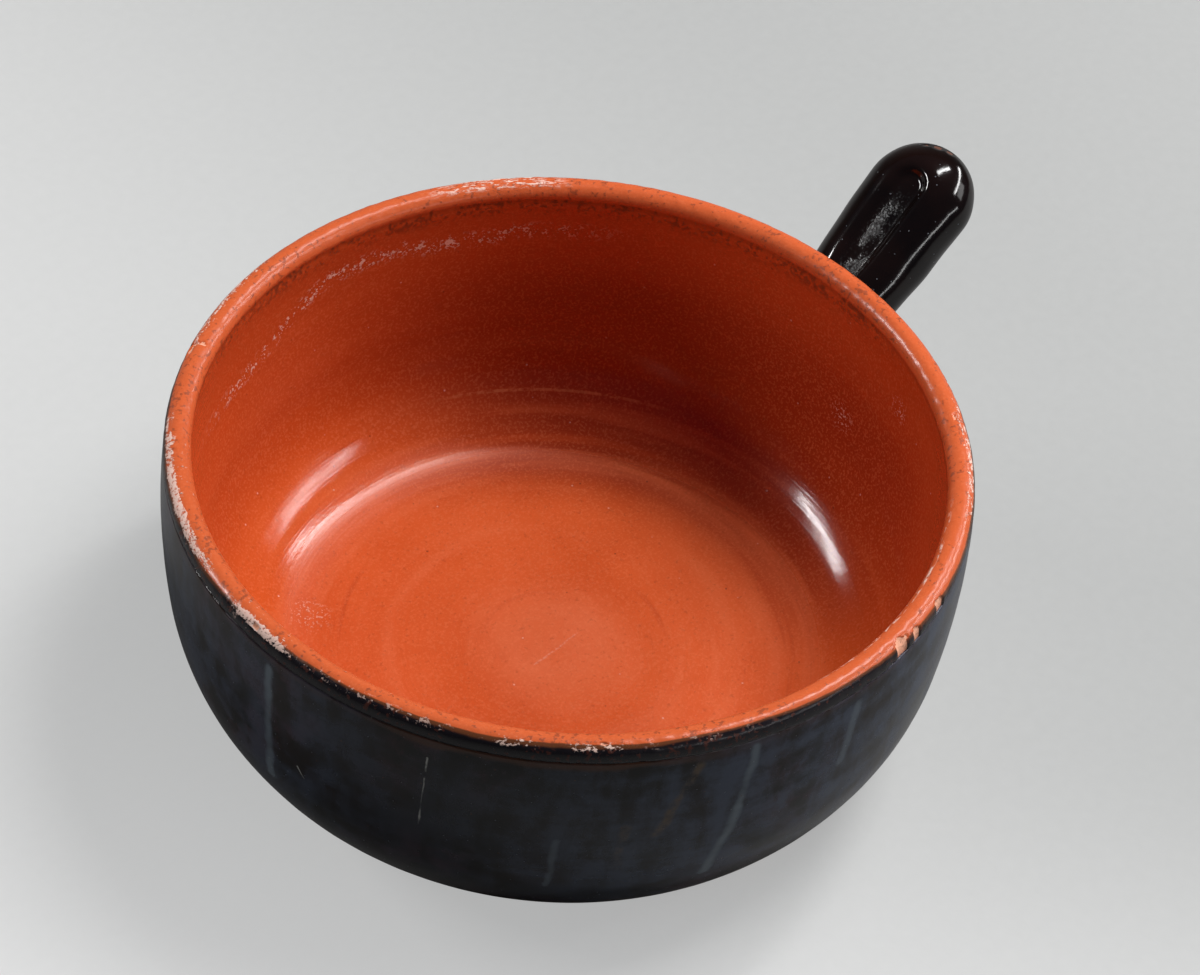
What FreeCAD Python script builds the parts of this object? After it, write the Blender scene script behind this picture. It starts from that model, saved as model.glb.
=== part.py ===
import FreeCAD, Part
import math
import os

# One-handled earthenware cooking pot, thrown on a wheel, with a handle luted to its wall.
# The origin is the middle of the flat base, +Z is up and the handle points along +X.

# Outside of the bowl: radii from the axis and heights above the table
rim_radius = 110.0
rim_height = 92.5
belly_swell = 0.95
belly_height = 71.8
heel_height = 47.8
base_radius = 77.0

# Clay of the bowl
wall_thickness = 7.0
floor_thickness = 10.0
inner_corner_radius = 36.0
lip_crown = 3.2

# Glaze: black outside down to the bare foot, clear inside and over the lip, where they meet
black_thickness = 0.4
clear_thickness = 0.3
glaze_meeting_drop = 1.5
glaze_foot_height = 7.0

# Stub handle, measured along its own axis from where that axis meets the wall
handle_tilt = 36.0
handle_drop = 23.0
handle_length = 62.5
handle_root_width = 27.6
handle_width = 33.6
handle_thickness = 27.0
handle_bed = 24.0

# Groove that a fingertip leaves along the top of the handle
groove_depth = 3.2
groove_root_width = 5.0
groove_width = 9.6
groove_end_gap = 12.0
groove_lip_radius = 1.8

# Collar of soft clay worked round the root of the handle
collar_bed = 5.0
collar_waist = 4.0
collar_reach = 13.0
collar_spread = 6.5
collar_waist_spread = 2.0
collar_edge = 0.6


class Circle:
    """A circle in the plane of the turned profile, where x is the radius and z the height."""

    def __init__(self, x, z, radius):
        self.x = x
        self.z = z
        self.radius = radius

    def grown(self, amount):
        return Circle(self.x, self.z, self.radius + amount)

    def point(self, angle):
        x = self.x + self.radius * math.cos(angle)
        z = self.z + self.radius * math.sin(angle)
        return FreeCAD.Vector(x, 0, z)

    def angle_at_height(self, z):
        return math.asin((z - self.z) / self.radius)

    def arc(self, start, end):
        middle = (start + end) / 2
        return Part.Arc(self.point(start), self.point(middle), self.point(end)).toShape()


def line(start, end):
    return Part.LineSegment(start, end).toShape()


def turned(edges):
    """The solid that a closed profile sweeps about the axis of the pot."""
    face = Part.Face(Part.Wire(edges))
    return face.revolve(FreeCAD.Vector(0, 0, 0), FreeCAD.Vector(0, 0, 1), 360)


def wall_circle():
    """The upright wall: upright at the belly, and through the outer edge of the rim."""
    rise = rim_height - belly_height
    radius = (belly_swell**2 + rise**2) / (2 * belly_swell)
    return Circle(rim_radius + belly_swell - radius, belly_height, radius)


def heel_circle(wall):
    """The heel: it leaves the wall smoothly at the heel's height and ends at the base."""
    start = wall.angle_at_height(heel_height)
    outward = FreeCAD.Vector(math.cos(start), 0, math.sin(start))
    leave = wall.point(start)
    chord = FreeCAD.Vector(base_radius, 0, 0) - leave
    radius = -chord.dot(chord) / (2 * chord.dot(outward))
    centre = leave - outward * radius
    return Circle(centre.x, centre.z, radius)


def corner_circle(inner_wall):
    """The inside corner: it touches both the inner wall and the floor."""
    height = floor_thickness + inner_corner_radius
    reach = inner_wall.radius - inner_corner_radius
    x = inner_wall.x + math.sqrt(reach**2 - (height - inner_wall.z) ** 2)
    return Circle(x, height, inner_corner_radius)


wall = wall_circle()
inner_wall = wall.grown(-wall_thickness)
heel = heel_circle(wall)
corner = corner_circle(inner_wall)
rim_angle = wall.angle_at_height(rim_height)
inner_rim_angle = inner_wall.angle_at_height(rim_height)
heel_angle = wall.angle_at_height(heel_height)
corner_angle = math.atan2(corner.z - inner_wall.z, corner.x - inner_wall.x)


def on_axis(height):
    return FreeCAD.Vector(0, 0, height)


def first_point(edges):
    return edges[0].valueAt(edges[0].FirstParameter)


def last_point(edges):
    return edges[-1].valueAt(edges[-1].LastParameter)


def inside_edges(coat):
    """Floor, inside corner and inner wall up to the rim, under a coat of a thickness."""
    turn = corner.grown(-coat).arc(-math.pi / 2, corner_angle)
    rise = inner_wall.grown(-coat).arc(corner_angle, inner_rim_angle)
    return [line(on_axis(floor_thickness + coat), first_point([turn])), turn, rise]


def lip_edge(coat):
    """The rounded lip, from the inner wall over to the outer one."""
    inner = inner_wall.grown(-coat).point(inner_rim_angle)
    outer = wall.grown(coat).point(rim_angle)
    crown = (inner + outer) / 2 + on_axis(lip_crown + coat)
    return Part.Arc(inner, crown, outer).toShape()


def outside_edges(coat, foot_height, top_height=rim_height):
    """Outer wall and heel, between two heights of the bare clay, under a coat."""
    top_angle = wall.angle_at_height(top_height)
    foot_angle = heel.angle_at_height(foot_height)
    upper = wall.grown(coat).arc(top_angle, heel_angle)
    lower = heel.grown(coat).arc(heel_angle, foot_angle)
    return [upper, lower]


def bowl_envelope():
    """The bowl as if it were filled to the rim."""
    outside = outside_edges(0, 0)
    lid = line(on_axis(rim_height), first_point(outside))
    underside = line(last_point(outside), on_axis(0))
    return turned([lid] + outside + [underside, line(on_axis(0), on_axis(rim_height))])


def bowl_clay():
    """The thrown body: floor, inside corner, wall, rounded lip, outside and flat base."""
    outline = inside_edges(0) + [lip_edge(0)] + outside_edges(0, 0)
    base = line(last_point(outline), on_axis(0))
    return turned(outline + [base, line(on_axis(0), on_axis(floor_thickness))])


def clear_glaze():
    """The clear coat over the floor, the inner wall and the lip, down to the black coat."""
    meeting_angle = wall.angle_at_height(rim_height - glaze_meeting_drop)
    layers = []
    for coat in (clear_thickness, 0):
        over = wall.grown(coat).arc(rim_angle, meeting_angle)
        layers.append(inside_edges(coat) + [lip_edge(coat), over])
    skin, clay = layers
    middle = line(first_point(clay), first_point(skin))
    meeting = line(last_point(skin), last_point(clay))
    return turned([middle] + skin + [meeting] + clay[::-1])


def black_glaze():
    """The black coat all round the outside, before the handle takes its place in it."""
    top_height = rim_height - glaze_meeting_drop
    skin = outside_edges(black_thickness, glaze_foot_height, top_height)
    clay = outside_edges(0, glaze_foot_height, top_height)
    top = line(first_point(clay), first_point(skin))
    foot = line(last_point(skin), last_point(clay))
    return turned([top] + skin + [foot] + clay[::-1])


def half_width(distance):
    """Half the width of the handle at a distance along its axis, before the round end."""
    root = handle_root_width / 2
    widest = handle_width / 2
    run = handle_length - widest
    bow = (run**2 + (widest - root) ** 2) / (2 * (widest - root))
    return widest - bow + math.sqrt(bow**2 - (run - distance) ** 2)


def oval(profile_edges):
    """A form turned about the handle's axis and pressed from round to oval."""
    face = Part.Face(Part.Wire(profile_edges))
    round_form = face.revolve(FreeCAD.Vector(0, 0, 0), FreeCAD.Vector(1, 0, 0), 360)
    press = FreeCAD.Matrix()
    press.scale(1, 1, handle_thickness / handle_width)
    return round_form.transformGeometry(press)


def handle_form():
    """The handle before its groove: bowed sides that swell to a round end."""
    widest = handle_width / 2
    shoulder = handle_length - widest
    bed = FreeCAD.Vector(-handle_bed, 0, half_width(-handle_bed))
    middle = (shoulder - handle_bed) / 2
    side_middle = FreeCAD.Vector(middle, 0, half_width(middle))
    side_end = FreeCAD.Vector(shoulder, 0, widest)
    diagonal = widest * math.sqrt(0.5)
    end_middle = FreeCAD.Vector(shoulder + diagonal, 0, diagonal)
    tip = FreeCAD.Vector(handle_length, 0, 0)
    bed_middle = FreeCAD.Vector(-handle_bed, 0, 0)
    return oval([
        line(bed_middle, bed),
        Part.Arc(bed, side_middle, side_end).toShape(),
        Part.Arc(side_end, end_middle, tip).toShape(),
        line(tip, bed_middle),
    ])


def groove_tool():
    """A tapering fingertip, laid along the top of the handle at an even depth."""
    flatness = handle_thickness / handle_width
    root_radius = ((groove_root_width / 2) ** 2 + groove_depth**2) / (2 * groove_depth)
    end_radius = ((groove_width / 2) ** 2 + groove_depth**2) / (2 * groove_depth)
    end_x = handle_length - groove_end_gap - end_radius
    lift = -groove_depth
    start = FreeCAD.Vector(0, 0, half_width(0) * flatness + lift + root_radius)
    end = FreeCAD.Vector(end_x, 0, half_width(end_x) * flatness + lift + end_radius)
    along = end - start
    finger = Part.makeCone(root_radius, end_radius, along.Length, start, along)
    return finger.fuse(Part.makeSphere(end_radius, end))


def grooved_handle():
    """The handle with its groove, and the two lips of the groove rounded by wet fingers."""
    grooved = handle_form().cut(groove_tool())
    lips = []
    for edge in grooved.Edges:
        surfaces = [type(face.Surface) for face in grooved.ancestorsOfType(edge, Part.Face)]
        of_finger = Part.Cone in surfaces or Part.Sphere in surfaces
        if of_finger and Part.BSplineSurface in surfaces:
            lips.append(edge)
    return grooved.makeFillet(groove_lip_radius, lips)


def collar_section(distance, turn, spread):
    """An oval wider than the handle, turned from square to its axis towards the wall."""
    width = half_width(distance) + spread
    flatness = handle_thickness / handle_width
    height = half_width(distance) * flatness / math.cos(math.radians(turn)) + spread
    circle = Part.makeCircle(width, FreeCAD.Vector(0, 0, 0), FreeCAD.Vector(1, 0, 0))
    press = FreeCAD.Matrix()
    press.scale(1, 1, height / width)
    section = circle.transformGeometry(press)
    section.rotate(FreeCAD.Vector(0, 0, 0), FreeCAD.Vector(0, 1, 0), turn)
    section.translate(FreeCAD.Vector(distance, 0, 0))
    return Part.Wire(section.Edges)


def collar_form():
    """A flare from the upright wall to the tilted handle, waisted between the two."""
    sections = [
        collar_section(-collar_bed, handle_tilt, collar_spread),
        collar_section(collar_waist, handle_tilt / 2, collar_waist_spread),
        collar_section(collar_reach, 0, collar_edge),
    ]
    return Part.makeLoft(sections, True, False)


def on_the_wall(shape):
    """Tilt a form of the handle and carry it to its place on the wall."""
    placed = shape.copy()
    placed.rotate(FreeCAD.Vector(0, 0, 0), FreeCAD.Vector(0, 1, 0), -handle_tilt)
    height = rim_height - handle_drop
    placed.translate(wall.point(wall.angle_at_height(height)))
    return placed


def save(name, shape):
    """Write one node, whose shape has to be valid and a single solid."""
    if not shape.isValid() or len(shape.Solids) != 1:
        raise ValueError(name + " is not one valid solid")
    shape.Solids[0].exportStep("parts/" + name + ".step")


os.makedirs("parts", exist_ok=True)

envelope = bowl_envelope()
full_handle = on_the_wall(handle_form())
full_collar = on_the_wall(collar_form())

bowl = bowl_clay()
handle = on_the_wall(grooved_handle()).cut(envelope)
collar = full_collar.cut(envelope).cut(full_handle)
outer_glaze = black_glaze().cut(full_handle).cut(full_collar)
inner_glaze = clear_glaze()

save("bowl", bowl)
save("inner_glaze", inner_glaze)
save("outer_glaze", outer_glaze)
save("handle", handle)
save("handle_collar", collar)
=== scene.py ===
import math
import bpy
import numpy as np
from mathutils import Matrix, Vector


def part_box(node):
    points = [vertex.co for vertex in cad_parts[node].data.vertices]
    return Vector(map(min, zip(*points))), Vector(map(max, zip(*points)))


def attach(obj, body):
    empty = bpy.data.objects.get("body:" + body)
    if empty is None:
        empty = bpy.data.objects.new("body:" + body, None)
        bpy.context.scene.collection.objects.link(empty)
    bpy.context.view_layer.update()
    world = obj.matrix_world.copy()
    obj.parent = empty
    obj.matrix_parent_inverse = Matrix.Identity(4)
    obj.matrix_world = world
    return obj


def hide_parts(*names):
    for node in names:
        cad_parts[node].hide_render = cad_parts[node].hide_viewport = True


# The frame holds the thrown bowl, its two glazes, the handle and the handle's collar.
# The row's origin is the middle of the base, +Z is up and the handle points along +X.
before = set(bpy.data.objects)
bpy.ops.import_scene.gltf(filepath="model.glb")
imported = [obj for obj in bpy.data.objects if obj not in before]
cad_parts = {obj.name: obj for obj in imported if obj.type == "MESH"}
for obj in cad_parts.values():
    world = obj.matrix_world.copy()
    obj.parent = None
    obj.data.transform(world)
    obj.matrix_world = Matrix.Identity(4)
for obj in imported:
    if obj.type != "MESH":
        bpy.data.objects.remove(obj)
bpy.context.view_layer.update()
mm = 0.001


# Bowl: one piece of red earthenware, thrown on a wheel and fired.
# Its base and foot are bare of glaze, and so are the places where its lip has been chipped.
_, bowl_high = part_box("bowl")
lip_crown = 3.2 * mm
rim_z = bowl_high.z - lip_crown
rim_radius = 110.0 * mm
belly_radius = 110.95 * mm
belly_z = 71.8 * mm
heel_z = 47.8 * mm
base_radius = 77.0 * mm
wall = 7.0 * mm
floor_z = 10.0 * mm
corner_radius = 36.0 * mm
lip_middle = rim_radius - wall / 2
clear_thickness = 0.3 * mm

# The turned skins have a point at each of these angles round the axis.
columns = 1080
turns = np.linspace(0, 2 * math.pi, columns, endpoint=False)[None, :]


class Turn:
    """A stretch of a turned profile: points in its order of travel, and the way they face."""

    def __init__(self, radius, height, face_out, face_up):
        self.radius = radius
        self.height = height
        self.face_out = face_out
        self.face_up = face_up

    def __add__(self, other):
        """This stretch and then another, which starts where this one ends."""
        pairs = zip(self.parts(), other.parts())
        return Turn(*[np.concatenate([first, second[1:]]) for first, second in pairs])

    def parts(self):
        return self.radius, self.height, self.face_out, self.face_up

    def backwards(self):
        return Turn(*[part[::-1] for part in self.parts()])

    def moved(self, lift):
        """Radius and height grids of the profile, lifted along the way that it faces."""
        radius = self.radius[:, None] + self.face_out[:, None] * lift
        height = self.height[:, None] + self.face_up[:, None] * lift
        return np.broadcast_arrays(radius, height + 0 * turns)


def arc(centre, radius, start, end, rows, hollow=False):
    """A stretch round a centre; a hollow one faces that centre."""
    angles = np.linspace(start, end, rows)
    side = -1 if hollow else 1
    across, up = np.cos(angles), np.sin(angles)
    return Turn(centre[0] + radius * across, centre[1] + radius * up, side * across, side * up)


def level(start, end, height, rows, face_up):
    """A flat stretch from one radius to another, which faces up or, at -1, down."""
    radius = np.linspace(start, end, rows)
    zeros = np.zeros(rows)
    return Turn(radius, zeros + height, zeros, zeros + face_up)


rise = rim_z - belly_z
swell = belly_radius - rim_radius
wall_arc = (swell**2 + rise**2) / (2 * swell)
wall_centre = (belly_radius - wall_arc, belly_z)
heel_angle = math.asin((heel_z - belly_z) / wall_arc)
heel_out = np.array([math.cos(heel_angle), math.sin(heel_angle)])
heel_start = np.array(wall_centre) + wall_arc * heel_out
heel_chord = np.array([base_radius, 0]) - heel_start
heel_arc = -heel_chord @ heel_chord / (2 * heel_chord @ heel_out)
heel_centre = heel_start - heel_arc * heel_out
inner_arc = wall_arc - wall
corner_z = floor_z + corner_radius
corner_x = wall_centre[0] + math.sqrt((inner_arc - corner_radius) ** 2 - (corner_z - belly_z) ** 2)
corner_join = math.atan2(corner_z - belly_z, corner_x - wall_centre[0])


def angle_at(centre, radius, height):
    return math.asin((height - centre[1]) / radius)


def inside_turn(floor_rows, corner_rows, wall_rows):
    """From the middle of the floor up to the inner edge of the rim."""
    inner_rim = angle_at(wall_centre, inner_arc, rim_z)
    centre = (corner_x, corner_z)
    return (
        level(0, corner_x, floor_z, floor_rows, 1)
        + arc(centre, corner_radius, -math.pi / 2, corner_join, corner_rows, hollow=True)
        + arc(wall_centre, inner_arc, corner_join, inner_rim, wall_rows, hollow=True)
    )


def lip_turn(rows):
    """Over the lip, from the inner edge of the rim to the outer one."""
    inner_rim = angle_at(wall_centre, inner_arc, rim_z)
    start = wall_centre[0] + inner_arc * math.cos(inner_rim)
    half = (rim_radius - start) / 2
    radius = (half**2 + lip_crown**2) / (2 * lip_crown)
    lean = math.asin(half / radius)
    centre = (start + half, rim_z + lip_crown - radius)
    return arc(centre, radius, math.pi / 2 + lean, math.pi / 2 - lean, rows)


def outside_turn(top, foot, upper_rows, lower_rows):
    """Down the outside, from one height to another."""
    start = angle_at(wall_centre, wall_arc, top)
    end = angle_at(heel_centre, heel_arc, foot)
    upper = arc(wall_centre, wall_arc, start, heel_angle, upper_rows)
    return upper + arc(heel_centre, heel_arc, heel_angle, end, lower_rows)


def skin_piece(name, points, *face_sets):
    """A smooth piece from points, and from arrays of faces with three or four corners."""
    corners = np.concatenate([faces.ravel() for faces in face_sets]).astype(np.int32)
    counts = np.concatenate([np.full(len(faces), faces.shape[1]) for faces in face_sets])
    mesh = bpy.data.meshes.new(name)
    mesh.vertices.add(len(points))
    mesh.vertices.foreach_set("co", points.astype(np.float32).ravel())
    mesh.loops.add(len(corners))
    mesh.loops.foreach_set("vertex_index", corners)
    mesh.polygons.add(len(counts))
    mesh.polygons.foreach_set("loop_start", (np.cumsum(counts) - counts).astype(np.int32))
    mesh.update(calc_edges=True)
    mesh.shade_smooth()
    piece = bpy.data.objects.new(name, mesh)
    bpy.context.scene.collection.objects.link(piece)
    return piece


def ring_faces(below, above):
    """Faces between rows of point numbers, whose ends join up into rings."""
    quads = np.stack([below, above, np.roll(above, -1, -1), np.roll(below, -1, -1)], -1)
    return quads.reshape(-1, 4)


def fan_faces(ring, tip):
    return np.stack([np.full_like(ring, tip), ring, np.roll(ring, -1)], -1)


def capped_piece(name, grid, first_tip, last_tip):
    """A closed skin from a grid of rings, whose first and last ring fan in to a tip."""
    rows, around = grid.shape[:2]
    index = np.arange(rows * around).reshape(rows, around)
    points = np.concatenate([grid.reshape(-1, 3), np.stack([first_tip, last_tip])])
    ends = [fan_faces(index[0], index.size), fan_faces(index[-1][::-1], index.size + 1)]
    return skin_piece(name, points, ring_faces(index[:-1], index[1:]), *ends)


def turned_piece(name, radius, height):
    """A closed skin from grids of radius and height, whether or not it ends on the axis."""
    grid = np.stack([radius * np.cos(turns), radius * np.sin(turns), height], -1)
    if radius[0].max() < mm:
        return capped_piece(name, grid[1:-1], grid[0].mean(axis=0), grid[-1].mean(axis=0))
    index = np.arange(radius.size).reshape(radius.shape)
    return skin_piece(name, grid.reshape(-1, 3), ring_faces(index, np.roll(index, -1, 0)))


def ripple(around, along, seed, waves=24, finest=18, pitch=30 * mm):
    """Seeded, gentle unevenness from about -1 to 1, which joins up with itself all round.

    Where it moves a skin, 1.2 or more is taken off it, so that the skin only sinks.
    """
    maker = np.random.default_rng(seed)
    total = np.zeros(np.broadcast(around, along).shape)
    for _ in range(waves):
        turn = maker.integers(0, finest)
        drift = maker.normal(0, 2 * math.pi / pitch)
        total = total + np.cos(turn * around + drift * along + maker.uniform(0, 2 * math.pi))
    return total / (1.6 * math.sqrt(waves))


# Chips in the lip: where each is, in degrees round from the handle, then its length, width
# and depth, and its place across the lip, plus being outwards, in millimetres.
lip_chips = [
    (275, 4.6, 3.0, 0.5, 3.0),
    (278.5, 2.6, 1.6, 0.3, 3.2),
    (285, 3.6, 1.8, 0.4, 3.4),
    (118, 1.4, 4.6, 0.6, 1.2),
    (119.5, 3.6, 1.0, 0.35, 2.2),
    (322, 1.9, 0.8, 0.7, 0.4),
    (330, 1.4, 1.0, 0.6, 3.4),
    (176, 2.2, 0.9, 0.25, 2.4),
    (228, 1.6, 0.8, 0.25, 1.2),
    (57, 2.6, 1.3, 0.3, 2.4),
    (20, 1.6, 0.9, 0.3, 2.8),
]


def chip_depth(across):
    """How deep the chips cut at each place on the lip."""
    depth = np.zeros(np.broadcast(turns, across).shape)
    rough = 0.45 * ripple(turns, across, 11, waves=60, finest=240, pitch=4 * mm)
    for azimuth, length, width, deep, place in lip_chips:
        away = (turns - math.radians(azimuth) + math.pi) % (2 * math.pi) - math.pi
        along = away * rim_radius / (length * mm / 2)
        over = (across - place * mm) / (width * mm / 2)
        hollow = 1 - (along**2 + over**2) * (1 + rough)
        depth = np.maximum(depth, deep * mm * np.clip(hollow, 0, 1) ** 0.4)
    return depth


far_off = 1.0


def across_lip(turn):
    """How far outwards each point is from the middle of the lip, or far off if not on it."""
    on_lip = turn.height > rim_z - 3 * mm
    return np.where(on_lip, turn.radius - lip_middle, far_off)[:, None]


def bare_clay():
    """The clay, a hair under its glazes, with its chips and the spiral that cut it loose."""
    base_rows = 50
    below_outer_glaze = 0.04 * mm
    below_inner_glaze = 0.5 * mm
    spiral_pitch = 1.15 * mm
    spiral_depth = 0.15 * mm
    inside = inside_turn(8, 10, 10)
    outside = outside_turn(rim_z, 0, 14, 14)
    base = level(base_radius, 0, 0, base_rows, -1)
    whole = inside + lip_turn(34) + outside + base
    lift = -chip_depth(across_lip(whole)) - below_outer_glaze
    lift[: len(inside.radius)] -= below_inner_glaze
    radius, height = (grid.copy() for grid in whole.moved(lift))
    spiral = np.cos(radius[-base_rows:] / spiral_pitch - turns)
    trail = np.sin(np.clip(radius[-base_rows:] / base_radius, 0, 1) * math.pi)
    height[-base_rows:] = spiral_depth * (1 + spiral) * trail
    return turned_piece("bare_clay_bowl", radius, height)


clay_bowl = bare_clay()
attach(clay_bowl, "root")
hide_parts("bowl")


class Value:
    """An output of a finish's nodes; Python's operators on it add Math nodes."""

    def __init__(self, finish, socket):
        self.finish = finish
        self.socket = socket

    def math(self, operation, first, second=0.0):
        inputs = {0: first, 1: second}
        return self.finish.node("ShaderNodeMath", {"operation": operation}, inputs)

    def __add__(self, other):
        return self.math("ADD", self, other)

    def __sub__(self, other):
        return self.math("SUBTRACT", self, other)

    def __rsub__(self, other):
        return self.math("SUBTRACT", other, self)

    def __mul__(self, other):
        return self.math("MULTIPLY", self, other)

    def __truediv__(self, other):
        return self.math("DIVIDE", self, other)

    def __rtruediv__(self, other):
        return self.math("DIVIDE", other, self)

    def __or__(self, other):
        return self.math("MAXIMUM", self, other)

    def __abs__(self):
        return self.math("ABSOLUTE", self)

    def root(self):
        return self.math("SQRT", self)

    __radd__ = __add__
    __rmul__ = __mul__


class Finish:
    """A material. Its node method adds any node, sets it, then fills or links its sockets."""

    def __init__(self, name):
        self.material = bpy.data.materials.new(name)
        self.material.use_nodes = True
        self.tree = self.material.node_tree
        self.tree.nodes.clear()
        self.place = self.node("ShaderNodeTexCoord", {}, {}, "Object")
        self.x, self.y, self.z = [self.part(self.place, axis) for axis in "XYZ"]
        self.radius = (self.x * self.x + self.y * self.y).root() | 0.1 * mm

    def node(self, kind, settings, inputs, output=0):
        made = self.tree.nodes.new(kind)
        for name, value in settings.items():
            setattr(made, name, value)
        for name, value in inputs.items():
            if isinstance(value, Value):
                self.tree.links.new(value.socket, made.inputs[name])
            else:
                made.inputs[name].default_value = value
        return Value(self, made.outputs[output])

    def vector(self, operation, *vectors):
        inputs = dict(enumerate(vectors))
        return self.node("ShaderNodeVectorMath", {"operation": operation}, inputs)

    def distance(self, first, second):
        inputs = {0: first, 1: second}
        return self.node("ShaderNodeVectorMath", {"operation": "DISTANCE"}, inputs, "Value")

    def along(self, vector, way):
        """How far a vector goes along a way; the way's length scales it."""
        inputs = {0: vector, 1: tuple(way)}
        return self.node("ShaderNodeVectorMath", {"operation": "DOT_PRODUCT"}, inputs, "Value")

    def part(self, vector, axis):
        return self.node("ShaderNodeSeparateXYZ", {}, {0: vector}, axis)

    def joined(self, x, y, z):
        return self.node("ShaderNodeCombineXYZ", {}, {0: x, 1: y, 2: z})

    def noise(self, size, detail=4.0, rough=0.55, place=None, twist=0.0):
        """Soft cloudiness whose lumps are about the size given, in metres."""
        inputs = {"Vector": place or self.place, "Scale": 0.5 / size, "Detail": detail}
        inputs.update({"Roughness": rough, "Distortion": twist})
        return self.node("ShaderNodeTexNoise", {}, inputs)

    def brushed(self, size, length=2.0, detail=3.0):
        """Cloudiness drawn out round the pot, as the wheel leaves it."""
        turn = length / self.radius
        place = self.joined(self.x * turn, self.y * turn, (self.radius + self.z) * (1 / size))
        inputs = {"Vector": place, "Scale": 0.5, "Detail": detail, "Roughness": 0.6}
        return self.node("ShaderNodeTexNoise", {}, inputs)

    def step(self, value, low, high):
        """0 below low and 1 above high, with a smooth rise between; low may be above high."""
        inputs = {"Value": value, "From Min": low, "From Max": high, "To Min": 0.0, "To Max": 1.0}
        return self.node("ShaderNodeMapRange", {"interpolation_type": "SMOOTHSTEP"}, inputs)

    def blend(self, share, base, over):
        """The base colour where share is 0 and the other where it is 1."""
        settings = {"data_type": "RGBA", "blend_type": "MIX", "clamp_factor": True}
        return self.node("ShaderNodeMix", settings, {0: share, 6: base, 7: over}, 2)

    def facing(self, azimuth, spread):
        """1 at an azimuth in degrees from the handle, and 0 from a spread to each side on."""
        a = math.radians(azimuth)
        cosine = (self.x * math.cos(a) + self.y * math.sin(a)) / self.radius
        near = math.cos(math.radians(spread) * 0.35)
        return self.step(cosine, math.cos(math.radians(spread)), near)

    def spot(self, azimuth, radius, height, size):
        """1 at a place on the pot, in degrees and millimetres, and 0 from a size away on."""
        a = math.radians(azimuth)
        centre = (radius * mm * math.cos(a), radius * mm * math.sin(a), height * mm)
        distance = self.distance(self.place, centre)
        return self.step(distance, size * mm, 0.3 * size * mm)

    def stroke(self, start, end, width, wander=0.0):
        """1 along a line between two places, given as azimuth, radius and height."""
        ends = []
        for azimuth, radius, height in (start, end):
            a = math.radians(azimuth)
            ends.append(Vector((radius * math.cos(a), radius * math.sin(a), height)) * mm)
        run = ends[1] - ends[0]
        inputs = {"Vector": self.place, "Scale": 80.0, "Detail": 3.0}
        noise = self.node("ShaderNodeTexNoise", {}, inputs, "Color")
        most = wander * mm
        sway = self.vector("MULTIPLY_ADD", noise, (most,) * 3, (-0.5 * most,) * 3)
        place = self.vector("ADD", self.place, sway)
        away = self.vector("SUBTRACT", place, tuple(ends[0]))
        share = self.along(away, run / run.length_squared)
        held = self.node("ShaderNodeClamp", {}, {"Value": share, "Min": 0.0, "Max": 1.0})
        nearest = self.joined(held * run.x, held * run.y, held * run.z)
        return self.step(self.distance(away, nearest), width * mm, 0.2 * width * mm)

    def dots(self, spacing, size, seed=0.0):
        """Round specks of about a size, scattered at about a spacing."""
        moved = self.vector("ADD", self.place, (seed, 0.3 * seed, 0.7 * seed))
        inputs = {"Vector": moved, "Scale": 1 / spacing, "Randomness": 1.0}
        distance = self.node("ShaderNodeTexVoronoi", {}, inputs, "Distance")
        return self.step(distance, size / spacing, 0.5 * size / spacing)

    def surface(self, constants, changing, bump, height):
        """The shader: constants on its own sockets, then what changes over the surface."""
        inputs = {"Strength": 1.0, "Distance": height, "Height": bump}
        normal = self.node("ShaderNodeBump", {}, inputs, "Normal")
        inputs = {**constants, **changing, "Normal": normal}
        shader = self.node("ShaderNodeBsdfPrincipled", {}, inputs)
        output = self.tree.nodes.new("ShaderNodeOutputMaterial")
        self.tree.links.new(shader.socket, output.inputs["Surface"])
        return self.material


def fired_clay():
    """Bare red earthenware: matt, with fine grog, darker specks and dusty handling marks."""
    finish = Finish("fired_red_clay")
    cloud = finish.noise(14 * mm)
    grain = finish.noise(0.5 * mm, 3)
    speck = finish.step(finish.noise(0.9 * mm, 2), 0.66, 0.72)
    patch = finish.step(cloud, 0.35, 0.65)
    fired = finish.blend(patch, (0.47, 0.13, 0.055, 1), (0.60, 0.20, 0.10, 1))
    at_lip = finish.step(finish.z, rim_z - 3 * mm, rim_z)
    broken = finish.blend(at_lip, fired, (0.80, 0.38, 0.25, 1))
    dusty = finish.blend(finish.step(grain, 0.5, 0.8) * 0.5, broken, (0.80, 0.46, 0.32, 1))
    colour = finish.blend(speck * 0.5, dusty, (0.17, 0.05, 0.025, 1))
    changing = {"Base Color": colour, "Roughness": 0.74 + 0.15 * grain}
    return finish.surface({"Specular IOR Level": 0.3}, changing, grain + 0.5 * cloud, 0.3 * mm)


clay_bowl.data.materials.append(fired_clay())


# Handle: a solid stub of clay, pulled to an oval section that swells to a round end.
# A wet fingertip pressed the groove along its top; it is luted on and glazed black.
handle_tilt = math.radians(36.0)
handle_root_z = rim_z - 23.0 * mm
handle_length = 62.5 * mm
root_width = 27.6 * mm
full_width = 33.6 * mm
handle_thickness = 27.0 * mm
flatness = handle_thickness / full_width
groove_depth = 3.2 * mm
groove_end = handle_length - 12.0 * mm
groove_root_half = 2.5 * mm
groove_half = 4.9 * mm
handle_columns = 320

# The handle's skin starts at this radius, inside the clay of the wall.
wall_bed_radius = 107 * mm

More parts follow.
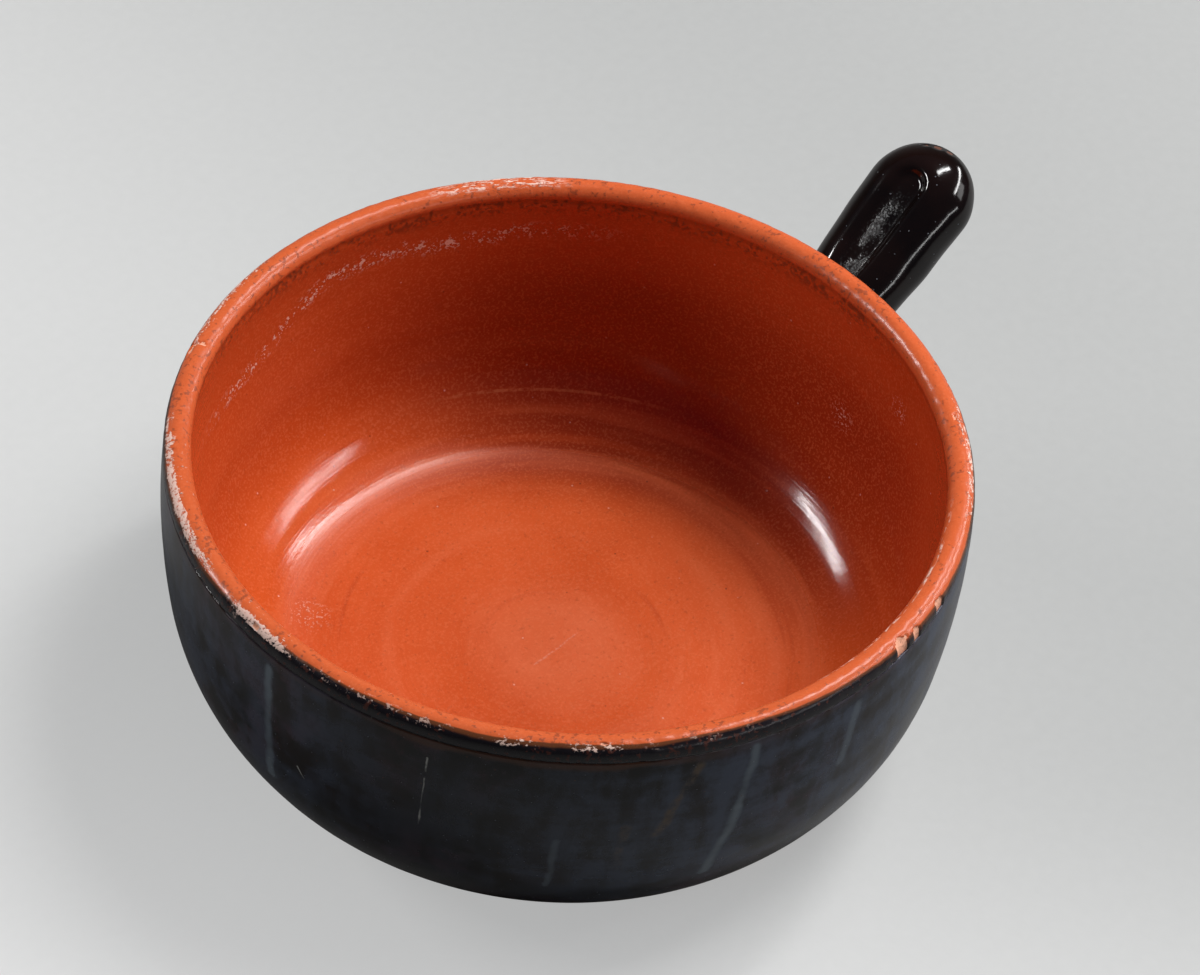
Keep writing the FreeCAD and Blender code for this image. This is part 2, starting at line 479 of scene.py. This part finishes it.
handle_root_x = wall_centre[0] + wall_arc * math.cos(angle_at(wall_centre, wall_arc, handle_root_z))
handle_root = np.array([handle_root_x, 0, handle_root_z])
handle_along = np.array([math.cos(handle_tilt), 0, math.sin(handle_tilt)])
handle_over = np.array([-math.sin(handle_tilt), 0, math.cos(handle_tilt)])
handle_angles = -np.linspace(0, 2 * math.pi, handle_columns, endpoint=False)[None, :]

# Flakes off the handle's end: distance along it, place across it and above its middle, and
# size, in millimetres.
handle_chips = [(60.8, 2.0, 6.0, 2.0), (61.3, -1.6, 4.6, 1.5), (59.6, 5.2, 7.2, 1.3)]


def half_width(distance):
    """Half the handle's width at a distance along its axis, to the very end."""
    widest = full_width / 2
    root = root_width / 2
    run = handle_length - widest
    bow = (run**2 + (widest - root) ** 2) / (2 * (widest - root))
    side = widest - bow + np.sqrt(np.maximum(bow**2 - (run - distance) ** 2, 0))
    end = np.sqrt(np.maximum(widest**2 - (distance - run) ** 2, 0))
    return np.where(distance < run, side, end)


def on_handle(distance, aside, above):
    """A place in the row frame, from one measured along, across and above the handle."""
    aside_way = np.array([0.0, 1.0, 0.0])
    ways = ((distance, handle_along), (aside, aside_way), (above, handle_over))
    return handle_root + sum(np.asarray(amount)[..., None] * way for amount, way in ways)


def handle_skin(distance, angle):
    """The handle's surface: angle 0 is to its side and a quarter turn is its top."""
    lumps = 0.16 * mm * (ripple(angle, distance, 21, finest=5, pitch=26 * mm) - 1.2)
    width = half_width(distance) + lumps * np.clip((handle_length - distance) / (9 * mm), 0, 1)
    aside = width * np.cos(angle)
    above = width * flatness * np.sin(angle)
    finger_end = groove_end - groove_half
    growth = np.clip((distance - 8 * mm) / (24 * mm), 0, 1)
    half = groove_root_half + (groove_half - groove_root_half) * growth * (2 - growth)
    past = np.maximum(distance - finger_end, 0)
    from_finger = np.sqrt(aside**2 + past**2) / half
    press = groove_depth / (1 + from_finger**6)
    above = above - press * np.clip(np.sin(angle) * 4, 0, 1)
    for along, across, over, size in handle_chips:
        away = (distance - along * mm) ** 2 + (aside - across * mm) ** 2 + (above - over * mm) ** 2
        bite = 0.35 * mm * np.clip(1.4 - away / (size * mm) ** 2, 0, 1)
        above = above - bite
    return on_handle(distance, aside, above)


def stub_handle():
    """The handle, from its bed inside the wall to its round end."""
    run = handle_length - full_width / 2
    aside = root_width / 2 * np.cos(handle_angles)
    above = root_width / 2 * flatness * np.sin(handle_angles)
    bed = np.sqrt(wall_bed_radius**2 - aside**2) - handle_root_x + above * math.sin(handle_tilt)
    bed = bed / math.cos(handle_tilt)
    share = np.linspace(0, 1, 130)[:-1, None]
    straight = bed + (run - bed) * share
    turned_in = run + full_width / 2 * np.sin(np.linspace(0, math.pi / 2, 64))[:-1, None]
    distance = np.concatenate([straight, turned_in + 0 * handle_angles])
    grid = handle_skin(distance, handle_angles + 0 * distance)
    end_tip = on_handle(handle_length, 0, 0)
    return capped_piece("stub_handle", grid, grid[0].mean(axis=0), end_tip)


handle = stub_handle()
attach(handle, "root")
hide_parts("handle")


def black_base(finish):
    """Colour, roughness and bump of the black glaze: brown-black, deep, with tiny pits."""
    cloud = finish.noise(16 * mm, 5)
    fine = finish.noise(1.2 * mm, 3)
    pits = finish.dots(2.8 * mm, 0.26 * mm)
    patch = finish.step(cloud, 0.36, 0.66)
    colour = finish.blend(patch, (0.0030, 0.0018, 0.0018, 1), (0.0085, 0.0036, 0.0030, 1))
    colour = finish.blend(pits * 0.55, colour, (0.16, 0.18, 0.21, 1))
    roughness = 0.07 + 0.08 * cloud + 0.3 * pits
    return colour, roughness, cloud * 0.9 + fine * 0.25 - pits * 0.5


def handle_glaze():
    """Black glaze, rubbed matt in the groove with pale specks there that are painted glints, and
    brown where its end is flaked.
    """
    finish = Finish("black_glaze_handle")
    colour, roughness, bump = black_base(finish)
    away = finish.vector("SUBTRACT", finish.place, tuple(handle_root))
    along = finish.along(away, handle_along)
    above = finish.along(away, handle_over)
    in_groove = finish.step(abs(finish.y), 4.2 * mm, 1.6 * mm)
    in_groove = in_groove * finish.step(above, 0, 6 * mm) * finish.step(along, 45 * mm, 33 * mm)
    sparkle = finish.noise(0.35 * mm, 3)
    patch = finish.step(finish.noise(4 * mm, 3), 0.34, 0.56)
    rubbed = in_groove * patch
    # Painted glints: pale specks in the groove's rubbed patches.
    pale = rubbed * finish.step(sparkle, 0.52, 0.66)
    colour = finish.blend(pale * 0.6, colour, (0.22, 0.23, 0.23, 1))
    for distance, across, over, size in handle_chips:
        centre = on_handle(distance * mm, across * mm, over * mm)
        near = finish.distance(finish.place, tuple(centre))
        flake = finish.step(near + (sparkle - 0.5) * 1.6 * mm, 0.75 * size * mm, 0.5 * size * mm)
        colour = finish.blend(flake * 0.55, colour, (0.20, 0.075, 0.045, 1))
        roughness = roughness + flake * 0.4
    roughness = roughness + rubbed * 0.22
    changing = {"Base Color": colour, "Roughness": roughness}
    return finish.surface({"IOR": 1.55}, changing, bump + rubbed * sparkle * 3.0, 0.10 * mm)


handle.data.materials.append(handle_glaze())


# Collar: a roll of soft clay worked round the root of the handle with wet fingers.
# It flares on to the wall below and fades into the handle above, under the same black glaze.
collar_columns = 280

# Three ovals set the flare: distance along the handle in millimetres, share of the handle's
# tilt that the oval is turned by, and how far it stands off the handle, in millimetres.
collar_stations = [(-5.0, 1.0, 6.5), (4.0, 0.5, 2.0), (13.0, 0.0, 0.55)]


def collar_ring(distance, turn, spread, angles):
    """One oval round the handle, turned from square to its axis towards the wall."""
    width = half_width(distance) + spread
    over = half_width(distance) * flatness / math.cos(turn) + spread
    aside = width * np.cos(angles)
    above = over * np.sin(angles)
    return distance + above * math.sin(turn), aside, above * math.cos(turn)


def handle_collar():
    """The collar, curved through its three ovals, with the dents that wet fingers leave."""
    angles = -np.linspace(0, 2 * math.pi, collar_columns, endpoint=False)
    rings = []
    for distance, share, spread in collar_stations:
        ring = collar_ring(distance * mm, share * handle_tilt, spread * mm, angles)
        rings.append(on_handle(*ring))
    share = np.linspace(0, 1, 60)[:, None, None]
    first = 2 * (share - 0.5) * (share - 1) * rings[0]
    middle = 4 * share * (1 - share) * rings[1]
    last = 2 * share * (share - 0.5) * rings[2]
    grid = first + middle + last
    axis = grid.mean(axis=1, keepdims=True)
    wet = ripple(angles[None, :], share[..., 0] * 14 * mm, 23, finest=9, pitch=9 * mm)
    thumbed = 0.25 * mm * (wet - 1.3)
    spoke = grid - axis
    grid = axis + spoke * (1 + thumbed[..., None] / np.linalg.norm(spoke, axis=-1, keepdims=True))
    return capped_piece("luting_collar", grid, grid[0].mean(axis=0), grid[-1].mean(axis=0))


collar = handle_collar()
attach(collar, "root")
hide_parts("handle_collar")


def collar_glaze():
    """The same black, with a brown thin edge where the collar fades into the handle."""
    finish = Finish("black_glaze_collar")
    colour, roughness, bump = black_base(finish)
    thin = finish.step(finish.noise(5 * mm), 0.5, 0.7)
    colour = finish.blend(thin * 0.5, colour, (0.045, 0.018, 0.010, 1))
    changing = {"Base Color": colour, "Roughness": roughness}
    return finish.surface({"IOR": 1.55}, changing, bump, 0.12 * mm)


collar.data.materials.append(collar_glaze())


# Clear glaze: a thin shiny coat over the clay inside the bowl and over its lip.
# It shows the wheel's rings, and years of cooking have left scale, soot and wear on it.
meeting_z = rim_z - 1.5 * mm


def clear_coat():
    """The coat from the floor to over the lip, with the wheel's rings and the lip's wear."""
    start = angle_at(wall_centre, wall_arc, rim_z)
    end = angle_at(wall_centre, wall_arc, meeting_z)
    over_edge = arc(wall_centre, wall_arc, start, end, 4)
    skin = inside_turn(34, 34, 40) + lip_turn(36) + over_edge
    under = inside_turn(6, 8, 6) + lip_turn(12) + over_edge
    radius = skin.radius[:, None]
    height = skin.height[:, None]
    travel = radius + height
    below_lip = np.clip((rim_z - 5 * mm - height) / (6 * mm), 0, 1)
    rings = ripple(turns, travel, 3, waves=30, finest=3, pitch=8 * mm)
    hand = ripple(turns, travel, 5, finest=7, pitch=50 * mm)
    relief = (0.045 * mm * (rings - 1.4) + 0.05 * mm * (hand - 1.4)) * below_lip
    # The middle of the floor has a spiral, and a fine line runs round the inside of the lip.
    spiral_radius = 30 * mm
    spiral_depth = 0.06 * mm
    fade = np.clip(1 - radius / spiral_radius, 0, 1)
    spiral = spiral_depth * np.cos(radius / (5 * mm) - turns) * fade
    relief = relief + np.minimum(spiral - spiral_depth, 0) * (radius < spiral_radius)
    edge_line = 0.22 * mm * np.exp(-(((height - rim_z + 1.6 * mm) / (0.5 * mm)) ** 2))
    edge_line = edge_line * (radius < lip_middle)
    across = across_lip(skin)
    worn = ripple(turns, across, 6, waves=60, finest=160, pitch=5 * mm) - 1.2
    lip_wear = 0.07 * mm * worn * (across < far_off)
    # Where a chip has taken the glaze off, both of the coat's skins go down under the clay.
    least_chip = 0.02 * mm
    chips = chip_depth(across)
    sunk = np.where(chips > least_chip, chips + clear_thickness + 0.3 * mm, 0)
    lift = clear_thickness + relief - edge_line + lip_wear - sunk
    outer = skin.moved(lift)
    deep = chip_depth(across_lip(under))
    low_lift = -0.2 * mm - np.where(deep > least_chip, deep + 0.6 * mm, 0)
    inner = under.backwards().moved(low_lift[::-1])
    grids = [np.concatenate(pair) for pair in zip(outer, inner)]
    return turned_piece("clear_glaze_inside", *grids)


clear_glaze = clear_coat()
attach(clear_glaze, "root")
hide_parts("inner_glaze")


def clay_under_glaze(finish, cloud, speck, rings, on_lip):
    """The clay's red: painted darker on the wall as painted shade, brushed pale on the floor, and
    painted shade on the handle's side.
    """
    swirl = finish.brushed(13 * mm, 0.8, 3)
    on_floor = finish.step(finish.z, 34 * mm, 16 * mm)
    patch = finish.step(cloud, 0.3, 0.7)
    red = finish.blend(patch, (0.53, 0.076, 0.015, 1), (0.60, 0.096, 0.022, 1))
    # Painted shade: the walls are painted darker than the floor.
    red = finish.blend((1 - on_floor) * 0.7, red, (0.40, 0.046, 0.009, 1))
    # Painted shade: the lower wall and the floor's edge on the handle's side are painted dark, as
    # if in the rim's shadow.
    painted_handle_side_shade = finish.facing(18, 74) * finish.step(finish.radius, 54 * mm, 80 * mm)
    painted_handle_side_shade = painted_handle_side_shade * finish.step(finish.z, 84 * mm, 50 * mm)
    red = finish.blend(painted_handle_side_shade * 0.62, red, (0.17, 0.008, 0.003, 1))
    pale = finish.step(rings, 0.50, 0.68) * 0.40 + finish.step(swirl, 0.50, 0.66) * 0.6
    red = finish.blend(pale * (0.15 + 0.80 * on_floor), red, (0.64, 0.128, 0.042, 1))
    deep = finish.step(finish.brushed(3 * mm, 1.0, 4), 0.40, 0.28) * 0.45
    red = finish.blend(deep, red, (0.41, 0.050, 0.010, 1))
    middle = finish.step(finish.radius, 30 * mm, 12 * mm) * on_floor
    red = finish.blend(middle * 0.5, red, (0.66, 0.148, 0.058, 1))
    red = finish.blend(finish.step(speck, 0.58, 0.72) * 0.34, red, (0.30, 0.042, 0.010, 1))
    grain = finish.step(finish.noise(0.4 * mm, 2), 0.48, 0.66)
    red = finish.blend(grain * 0.22, red, (0.74, 0.20, 0.085, 1))
    red = finish.blend(on_lip * 0.5, red, (0.66, 0.145, 0.050, 1))
    below_lip = finish.step(finish.z, rim_z - 3.2 * mm, rim_z - 1.8 * mm) * (1 - on_lip)
    return finish.blend(below_lip * 0.45, red, (0.26, 0.042, 0.012, 1))


def black_over_lip(finish, red, across, blot):
    """The black coat's edge, where it creeps up over the lip: thin and brown, then black."""
    over = across + finish.facing(219, 62) * 1.35 * mm + (blot - 0.5) * 1.4 * mm - 2.85 * mm
    thin = finish.blend(finish.step(over, 0, 0.35 * mm), red, (0.125, 0.040, 0.016, 1))
    over = over - finish.facing(219, 26) * 0.5 * mm
    return finish.blend(finish.step(over, 0.35 * mm, 0.9 * mm), thin, (0.010, 0.0075, 0.010, 1))


def soot(finish, speck, blot, on_lip):
    """Where soot and dirt lie: in a band below the lip on some sides, and in specks on it."""
    sooty = finish.facing(34, 62) | finish.facing(5, 30) | finish.facing(88, 52)
    band = finish.step(finish.z, rim_z - 9 * mm, rim_z - 3 * mm) * (1 - on_lip)
    below = finish.step(speck * 0.6 + blot * 0.4, 0.49, 0.57) * sooty * band
    return below | finish.step(speck * 0.7 + blot * 0.3, 0.56, 0.62) * on_lip * 0.75


# White scale on the lip: where each patch is, in degrees round from the handle, how far it
# spreads to each side, and how thick it is.
lip_scale = [
    (149, 19, 1.0),
    (176.5, 8, 1.0),
    (56, 9, 0.8),
    (216, 5, 0.45),
    (227, 5, 0.5),
    (196, 20, 0.25),
    (314, 16, 0.5),
    (107, 14, 0.55),
    (241, 12, 0.2),
]


def scale_on_lip(finish, across, on_lip, strand, crust):
    """Where scale is crusted on the lip: along its outer side, its crown or its inner edge."""
    places = finish.facing(*lip_scale[0][:2])
    for azimuth, spread, thick in lip_scale[1:]:
        places = places | finish.facing(azimuth, spread) * thick
    outward = finish.step(across, 0.2 * mm, 2.0 * mm) * finish.step(across, 3.4 * mm, 2.9 * mm)
    outer_side = finish.step(crust + 0.16 * places * outward, 0.58, 0.64) * on_lip
    outer_side = outer_side * finish.step(places * (0.3 + outward), 0.1, 0.5)
    inner_edge = finish.step(abs(across + 2.7 * mm), 0.6 * mm, 0.15 * mm) * finish.facing(283, 24)
    crown = finish.step(abs(across + 0.4 * mm), 2.4 * mm, 1.2 * mm) * finish.facing(56, 13)
    return outer_side | (inner_edge | crown) * finish.step(strand, 0.50, 0.58) * on_lip


def scale_inside(finish, on_lip, chalky, patchy, crust):
    """Where scale lies below the lip: a tide line, flecks, rough spots with pale specks, a scratch
    and specks; on the two rough spots on the wall the pale specks are painted glints.
    """
    line_z = 79 * mm - finish.facing(121, 36) * 13 * mm - finish.facing(62, 10) * 2 * mm
    off_line = abs(finish.z - line_z)
    tide = finish.step(off_line, 4.2 * mm, 0.6 * mm) * finish.facing(78, 48)
    tide = tide * finish.step(chalky * 0.5 + patchy * 0.5, 0.525, 0.59)
    lower = finish.step(off_line, 26 * mm, 20 * mm) * finish.step(off_line, 16 * mm, 19 * mm)
    flecks = lower * finish.facing(62, 22) * finish.step(crust, 0.63, 0.68)
    rough_spots = finish.spot(350, 100, 50, 7) | finish.spot(337, 102, 73, 6)
    rough_spots = rough_spots | finish.spot(128, 71, 11, 8) * 0.8
    # On the two rough spots on the wall these pale specks are painted glints; the third spot is a
    # mark on the floor.
    painted_glints_and_floor_mark = rough_spots * finish.step(chalky, 0.56, 0.62)
    scratch = finish.stroke((190, 9, 10), (350, 9, 10), 0.5, 1.2) * finish.step(chalky, 0.40, 0.55)
    pin = finish.dots(8 * mm, 0.42 * mm) * (1 - on_lip)
    return tide * 0.85 | flecks * 0.7 | painted_glints_and_floor_mark * 0.45 | scratch * 0.15 | pin * 0.35


def glazed_red_clay():
    """Red clay under clear glaze, with the black coat's edge, soot, scale and a worn floor."""
    finish = Finish("clear_glazed_clay")
    cloud = finish.noise(22 * mm, 3)
    blot = finish.noise(9 * mm, 4)
    patchy = finish.noise(1.4 * mm, 4)
    speck = finish.noise(0.7 * mm, 3)
    chalky = finish.noise(0.4 * mm, 3)
    rings = finish.brushed(5 * mm, 1.2, 4)
    lines = finish.brushed(0.5 * mm, 4.0, 3)
    across = finish.radius - lip_middle
    on_lip = finish.step(finish.z, rim_z - 1.6 * mm, rim_z - 0.2 * mm)

    red = clay_under_glaze(finish, cloud, speck, rings, on_lip)
    red = black_over_lip(finish, red, across, blot)
    dirt = soot(finish, speck, blot, on_lip)
    red = finish.blend(dirt * 0.72, red, (0.12, 0.024, 0.010, 1))
    ring = finish.step(abs(finish.z - 23 * mm), 0.5 * mm, 0.15 * mm) * finish.facing(44, 26)
    red = finish.blend(ring * finish.step(patchy, 0.36, 0.56) * 0.5, red, (0.60, 0.19, 0.075, 1))

    # The scale grows in strands that are drawn out round the lip.
    around = 60 / finish.radius
    drawn = finish.joined(finish.x * around, finish.y * around, finish.radius / (0.4 * mm))
    strand = finish.noise(1.0, 3, 0.6, drawn)
    crust = chalky * 0.35 + patchy * 0.25 + strand * 0.40
    lime = scale_on_lip(finish, across, on_lip, strand, crust) * finish.step(chalky, 0.30, 0.50)
    lime = lime | scale_inside(finish, on_lip, chalky, patchy, crust)
    colour = finish.blend(lime * 0.9, red, (0.80, 0.56, 0.48, 1))
    dark_pin = finish.dots(11 * mm, 0.45 * mm, 0.37)
    colour = finish.blend(dark_pin * 0.6, colour, (0.10, 0.02, 0.008, 1))

    rubbed = finish.step(finish.z, 13.5 * mm, 11 * mm)
    roughness = 0.09 + 0.08 * cloud + 0.14 * on_lip + 0.4 * lime + 0.25 * dirt
    roughness = roughness + rubbed * (0.15 + 0.20 * rings)
    bump = lines * 0.5 + speck * 0.3 + lime * 1.2 + rings * 0.4 + patchy * on_lip * 0.8
    changing = {"Base Color": colour, "Roughness": roughness}
    return finish.surface({"IOR": 1.47}, changing, bump, 0.09 * mm)


clear_glaze.data.materials.append(glazed_red_clay())


# Black glaze: the thick dark coat on the outside, poured over the upturned pot.
# It thins to brown under the lip, runs in streaks, and ends in a rolled edge above the foot.
black_thickness = 0.4 * mm
foot_z = 7.0 * mm


def black_coat():
    """The coat round the outside, thin at its top edge, with a thick and wavy edge below."""
    skin = outside_turn(meeting_z, foot_z, 46, 66)
    under = outside_turn(meeting_z, foot_z, 6, 12)
    height = skin.height[:, None]
    lumps = ripple(turns, height, 7, finest=9, pitch=60 * mm)
    rings = ripple(turns, height, 8, waves=20, finest=2, pitch=16 * mm)
    runs = ripple(turns, height, 9, waves=40, finest=70, pitch=400 * mm)
    relief = 0.07 * mm * (lumps - 1.2) + 0.03 * mm * (rings - 1.2) + 0.02 * mm * (runs - 1.2)
    edge = foot_z + 1.4 * mm * (1 + ripple(turns, 0, 10, finest=26))
    above_edge = np.clip((height - edge) / (2.2 * mm), -0.4, 1)
    rolled = np.sign(above_edge) * np.abs(above_edge) ** 0.5
    thins = np.clip((meeting_z - height) / (4 * mm), 0, 1)
    lift = (black_thickness + relief) * rolled * (0.7 + 0.3 * thins**0.6)
    # Below its rolled edge the coat's skin goes down under the bare clay of the foot.
    lift = np.where(rolled < 0, -0.12 * mm, lift)
    outer = skin.moved(lift)
    inner = under.backwards().moved(-0.35 * mm)
    grids = [np.concatenate(pair) for pair in zip(outer, inner)]
    return turned_piece("black_glaze_outside", *grids)


black_glaze = black_coat()
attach(black_glaze, "root")
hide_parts("outer_glaze")


def outside_glaze():
    """The black coat, clouded blue-grey with bloom and painted reflection, with a brown fringe,
    runs, scratches and pits.
    """
    finish = Finish("black_glaze_outside")
    colour, roughness, bump = black_base(finish)
    tall = finish.joined(finish.x, finish.y, finish.z * 0.35)
    runs = finish.noise(7 * mm, 5, 0.6, tall, 0.6)
    mottle = finish.noise(4.5 * mm, 5, 0.65)
    cloud = finish.noise(26 * mm, 3)
    wiped = finish.brushed(4 * mm, 2.0, 4)
    warm = finish.step(cloud, 0.56, 0.40) * finish.step(mottle, 0.42, 0.60)
    colour = finish.blend(warm * 0.85, colour, (0.036, 0.009, 0.012, 1))
    # The blue-grey veil is partly bloom in the glaze and partly painted reflection, made stronger
    # on the sides picked out here.
    side = finish.facing(285, 90) | finish.facing(168, 40) * 0.55 | finish.facing(60, 80) * 0.6
    bloom_and_painted_reflection = finish.step(runs * 0.40 + mottle * 0.35 + wiped * 0.25, 0.41, 0.59)
    bloom_and_painted_reflection = bloom_and_painted_reflection * (0.25 + 0.75 * side) * finish.step(finish.z, 12 * mm, 45 * mm)
    colour = finish.blend(bloom_and_painted_reflection * 0.9, colour, (0.046, 0.060, 0.095, 1))
    fringe_edge = finish.z + (finish.noise(9 * mm, 3) - 0.5) * 5 * mm
    fringe = finish.step(fringe_edge, rim_z - 4.5 * mm, rim_z - 2.6 * mm)
    fringe = fringe * (0.25 + 0.75 * finish.facing(219, 26))
    colour = finish.blend(fringe * 0.75, colour, (0.085, 0.032, 0.014, 1))
    ochre = finish.stroke((241, 110.5, 87), (236, 111, 62), 2.2, 5.0)
    ochre = ochre | finish.stroke((232, 111, 66), (231, 110, 48), 2.2, 6.0) * 0.6
    ochre = ochre * finish.step(mottle, 0.42, 0.62) * 0.7
    colour = finish.blend(ochre, colour, (0.115, 0.070, 0.030, 1))
    # Pale runs down the outside: start, end, width in millimetres and strength.
    pale_runs = [
        ((249, 110.5, 88), (247.5, 110.9, 66), 2.0, 0.8),
        ((247.5, 110.9, 66), (244.5, 108, 38), 2.4, 0.9),
        ((180, 111, 86), (179.5, 109, 42), 2.4, 0.85),
        ((223, 111, 60), (222, 108, 38), 1.5, 0.45),
        ((266, 111, 86), (264, 110.8, 66), 2.2, 0.5),
        ((60, 111, 80), (63, 109, 42), 2.0, 0.5),
        ((118, 111, 84), (116, 109, 50), 1.6, 0.5),
    ]
    for start, end, width, strength in pale_runs:
        run = finish.stroke(start, end, width, 3.5) * finish.step(runs, 0.28, 0.52)
        colour = finish.blend(run * strength, colour, (0.12, 0.15, 0.18, 1))
    line = finish.stroke((205, 111, 84), (204.4, 110.9, 60), 0.40, 1.4)
    line = line | finish.stroke((204.4, 110.9, 60), (204, 107, 36), 0.50, 2.4)
    line = line * finish.step(finish.noise(3 * mm, 2), 0.34, 0.48)
    line = line | finish.stroke((185.3, 110.6, 56), (186.3, 110.0, 52.5), 0.45, 0.8)
    line = line | finish.stroke((207.5, 109.8, 50), (207, 109, 44), 0.22, 1.0) * 0.5
    colour = finish.blend(line * 0.8, colour, (0.50, 0.50, 0.47, 1))
    crumbs = finish.dots(5 * mm, 0.36 * mm, 0.53)
    colour = finish.blend(crumbs * 0.6, colour, (0.09, 0.04, 0.025, 1))
    roughness = roughness + bloom_and_painted_reflection * 0.12 + line * 0.3
    bump = bump + line * 1.5 + bloom_and_painted_reflection * 0.15
    changing = {"Base Color": colour, "Roughness": roughness}
    return finish.surface({"IOR": 1.45}, changing, bump, 0.10 * mm)


black_glaze.data.materials.append(outside_glaze())


# Stage: a pale sheet of paper that runs under the pot and up behind it.
# What the camera sees of it is lifted a little, so that its grey needs no extra light; the lift is
# painted light and shade, less towards the back and right and more in front.
view_azimuth = math.radians(-51.0)
to_right = Vector((math.cos(view_azimuth), math.sin(view_azimuth), 0))
to_back = Vector((-math.sin(view_azimuth), math.cos(view_azimuth), 0))


def paper_sheet():
    """A sheet that lies flat, then sweeps up in a wide curve a long way behind the pot."""
    front_edge = (-2.2, 0.0)
    half = 2.4
    flat = 1.0
    curve = 0.9
    angles = np.linspace(0, 1.45, 24)
    sweep = [(flat + curve * math.sin(a), curve - curve * math.cos(a)) for a in angles]
    top_edge = (sweep[-1][0] + 0.15, sweep[-1][1] + 1.2)
    line = [front_edge] + sweep + [top_edge]
    points = []
    for back, up in line:
        points += [to_back * back + to_right * side + Vector((0, 0, up)) for side in (-half, half)]
    first = 2 * np.arange(len(line) - 1)
    quads = np.stack([first, first + 1, first + 3, first + 2], -1)
    paper = skin_piece("paper", np.array(points), quads)
    finish = Finish("studio_paper")
    fibre = finish.noise(2 * mm, 3)
    tone = finish.blend(fibre, (0.24, 0.24, 0.237, 1), (0.27, 0.27, 0.267, 1))
    mirrored = finish.node("ShaderNodeLightPath", {}, {}, "Is Glossy Ray")
    tone = finish.blend(mirrored * 0.35, tone, (0.02, 0.02, 0.022, 1))
    seen = finish.node("ShaderNodeLightPath", {}, {}, "Is Camera Ray")
    # Painted light and shade: the lift fades towards the back and right, and is strongest in front
    # of the pot.
    slant = to_back + 1.2 * to_right
    far = finish.step(finish.along(finish.place, slant), -0.30, 0.42)
    lift = finish.blend(far, (0.43, 0.434, 0.434, 1), (0.17, 0.176, 0.176, 1))
    near = finish.step(finish.along(finish.place, to_back), 0, -0.22)
    lift = finish.blend(near, lift, (0.53, 0.533, 0.535, 1))
    lift = finish.blend(seen, (0, 0, 0, 1), lift)
    constants = {"Specular IOR Level": 0.2, "Emission Strength": 1.0}
    changing = {"Base Color": tone, "Roughness": 0.75 + 0.1 * fibre, "Emission Color": lift}
    paper.data.materials.append(finish.surface(constants, changing, fibre, 0.05 * mm))
    return paper


paper_sheet()


# Lamps: a broad key from behind on the right, which is too soft to mirror in the glaze, and
# narrow boxes all round that do. Azimuth 0 is the picture's right and 90 its back.
def soft_box(name, azimuth, elevation, distance, width, height, power, turn=0.0, mirrors=True):
    """A rectangular lamp that faces the pot."""
    data = bpy.data.lights.new(name, "AREA")
    data.shape = "RECTANGLE"
    data.size = width
    data.size_y = height
    data.energy = power
    lamp = bpy.data.objects.new(name, data)
    bpy.context.scene.collection.objects.link(lamp)
    a, e = math.radians(azimuth), math.radians(elevation)
    level_out = to_right * math.cos(a) + to_back * math.sin(a)
    out = level_out * math.cos(e) + Vector((0, 0, math.sin(e)))
    lamp.location = Vector((0, 0, rim_z / 2)) + out * distance
    lamp.rotation_mode = "QUATERNION"
    spin = Matrix.Rotation(math.radians(turn), 3, "Z").to_quaternion()
    lamp.rotation_quaternion = out.to_track_quat("Z", "Y") @ spin
    lamp.visible_glossy = mirrors


soft_box("key_lamp", 30, 63, 1.5, 0.66, 0.66, 19.5, mirrors=False)
soft_box("tall_strip", 45, 57, 1.4, 0.10, 0.74, 5.8)
soft_box("right_strip", 24, 30, 1.3, 1.25, 0.07, 5.4, turn=-24)
soft_box("right_haze", 12, 23, 1.5, 0.6, 0.35, 1.4)
soft_box("left_box", 171, 30, 1.4, 0.62, 0.08, 8.4)
soft_box("low_right_box", -35, 15, 1.4, 1.10, 0.06, 1.5)

# World: a nearly dark room, a little bluer where the glaze mirrors it, and the paper's pale
# grey where the camera looks past the sheet.
world = bpy.data.worlds.new("studio")
bpy.context.scene.world = world
world.use_nodes = True
sky = world.node_tree
path = sky.nodes.new("ShaderNodeLightPath")
tone = sky.nodes.new("ShaderNodeMix")
tone.data_type = "RGBA"
tone.inputs[6].default_value = (0.015, 0.016, 0.018, 1)
tone.inputs[7].default_value = (0.025, 0.031, 0.042, 1)
seen = sky.nodes.new("ShaderNodeMix")
seen.data_type = "RGBA"
seen.inputs[7].default_value = (0.40, 0.405, 0.405, 1)
sky.links.new(path.outputs["Is Glossy Ray"], tone.inputs[0])
sky.links.new(path.outputs["Is Camera Ray"], seen.inputs[0])
sky.links.new(tone.outputs[2], seen.inputs[6])
sky.links.new(seen.outputs[2], sky.nodes["Background"].inputs["Color"])
bpy.context.scene.view_settings.view_transform = "Standard"

# Camera: it looks down into the bowl, with the handle behind and to the right.
# It is rolled a little, and looks past the middle of the rim by a small amount each way.
camera_elevation = math.radians(45.49)
camera_roll = math.radians(6.25)
camera_distance = 0.88
look_right = 7.61 * mm
look_up = -11.52 * mm

backwards = -math.cos(camera_elevation) * to_back + Vector((0, 0, math.sin(camera_elevation)))
upright = math.sin(camera_elevation) * to_back + Vector((0, 0, math.cos(camera_elevation)))
camera_right = math.cos(camera_roll) * to_right + math.sin(camera_roll) * upright
camera_up = -math.sin(camera_roll) * to_right + math.cos(camera_roll) * upright
camera_data = bpy.data.cameras.new("camera")
camera_data.sensor_width = 36
camera_data.lens = 97.13
camera_data.clip_start = 0.05
camera_data.clip_end = 20
camera = bpy.data.objects.new("camera", camera_data)
bpy.context.scene.collection.objects.link(camera)
camera_place = Vector((0, 0, rim_z)) + camera_distance * backwards
camera_place = camera_place + look_right * camera_right + look_up * camera_up
aim = Matrix((camera_right, camera_up, backwards)).transposed()
camera.matrix_world = Matrix.Translation(camera_place) @ aim.to_4x4()
bpy.context.scene.camera = camera
